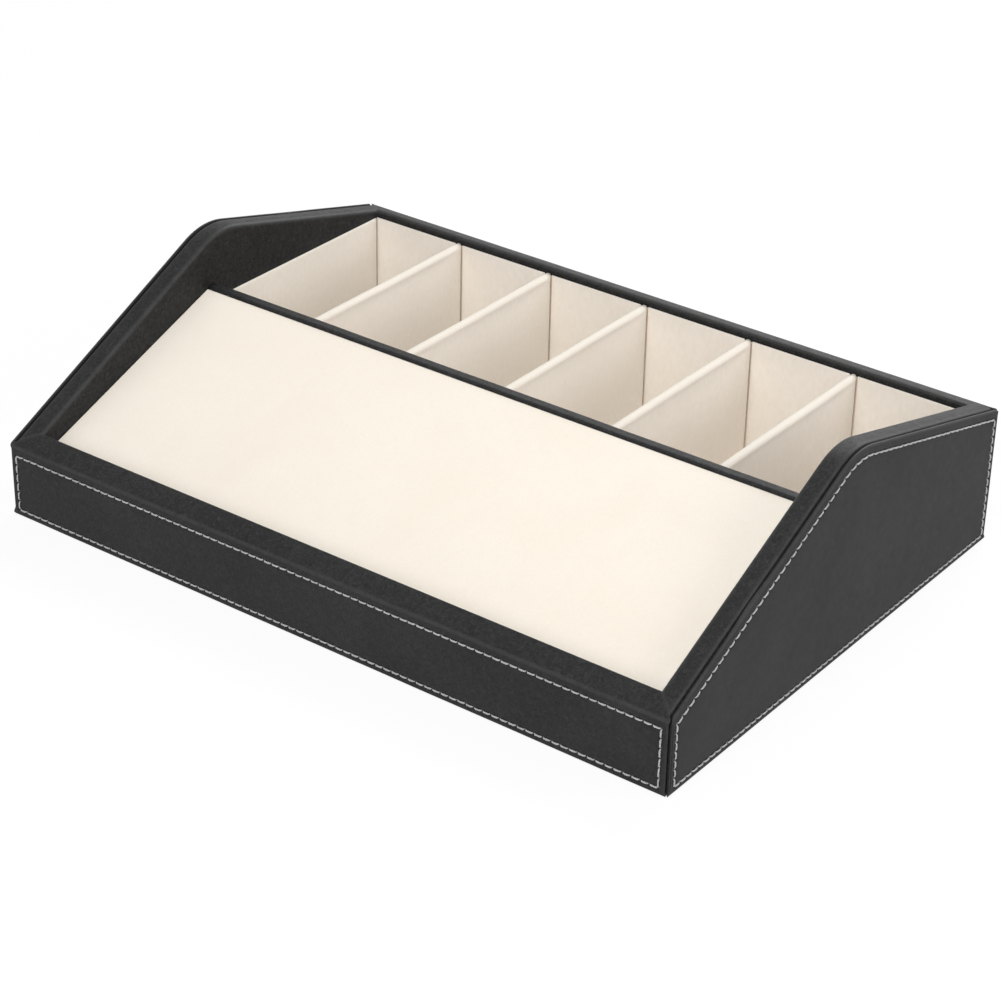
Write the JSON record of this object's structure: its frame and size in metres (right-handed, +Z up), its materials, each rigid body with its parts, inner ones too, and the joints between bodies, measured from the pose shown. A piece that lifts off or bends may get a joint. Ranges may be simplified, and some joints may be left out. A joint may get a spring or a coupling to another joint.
{
  "type": "belt display box",
  "caption": "Leather-covered open box with rounded peaked sides, a sloped suede display pad in front, and a row of velvet compartments with lift-out dividers behind it.",
  "frame": {"origin": "on the floor under the middle of the box", "axes": "+X to the right along the width, +Y from the low front to the back, +Z up"},
  "size_m": [0.4008, 0.2888, 0.1095],
  "materials": {
    "leather_black": "fine-grain black synthetic leather, satin",
    "suede_cream": "cream suede, matt",
    "velvet_cream": "cream velvet with a short pile",
    "thread_grey": "pale grey sewing thread",
    "felt_black": "black felt",
    "fibreboard": "bare fibreboard",
    "nail_steel": "plain steel"
  },
  "bodies": {
    "case": {"base_board": "fibreboard", "base_felt": "felt_black", "left_side_board": "fibreboard", "right_side_board": "fibreboard", "front_board": "fibreboard", "back_board": "fibreboard", "centre_board": "fibreboard", "brad_nails": "nail_steel", "front_leather": "leather_black", "back_leather": "leather_black", "left_side_wrap": "leather_black", "right_side_wrap": "leather_black", "left_outer_panel": "leather_black", "right_outer_panel": "leather_black", "centre_wrap": "leather_black", "display_pad": "suede_cream", "display_board": "fibreboard", "display_front_batten": "fibreboard", "display_rear_batten": "fibreboard", "front_liner": "velvet_cream", "back_liner": "velvet_cream", "left_liner": "velvet_cream", "right_liner": "velvet_cream", "compartment_floor_pad": "velvet_cream", "front_stitching": "thread_grey", "back_stitching": "thread_grey", "left_stitching": "thread_grey", "right_stitching": "thread_grey"},
    "divider_1": {"divider_1_core": "fibreboard", "divider_1_velvet": "velvet_cream"},
    "divider_2": {"divider_2_core": "fibreboard", "divider_2_velvet": "velvet_cream"},
    "divider_3": {"divider_3_core": "fibreboard", "divider_3_velvet": "velvet_cream"},
    "divider_4": {"divider_4_core": "fibreboard", "divider_4_velvet": "velvet_cream"},
    "divider_5": {"divider_5_core": "fibreboard", "divider_5_velvet": "velvet_cream"}
  },
  "joints": [
    {"name": "divider_1_lift", "type": "slide", "parent": "case", "child": "divider_1", "axis": [0, 0, 1], "range_m": [0, 0.115]},
    {"name": "divider_2_lift", "type": "slide", "parent": "case", "child": "divider_2", "axis": [0, 0, 1], "range_m": [0, 0.115]},
    {"name": "divider_3_lift", "type": "slide", "parent": "case", "child": "divider_3", "axis": [0, 0, 1], "range_m": [0, 0.115]},
    {"name": "divider_4_lift", "type": "slide", "parent": "case", "child": "divider_4", "axis": [0, 0, 1], "range_m": [0, 0.115]},
    {"name": "divider_5_lift", "type": "slide", "parent": "case", "child": "divider_5", "axis": [0, 0, 1], "range_m": [0, 0.115]}
  ]
}
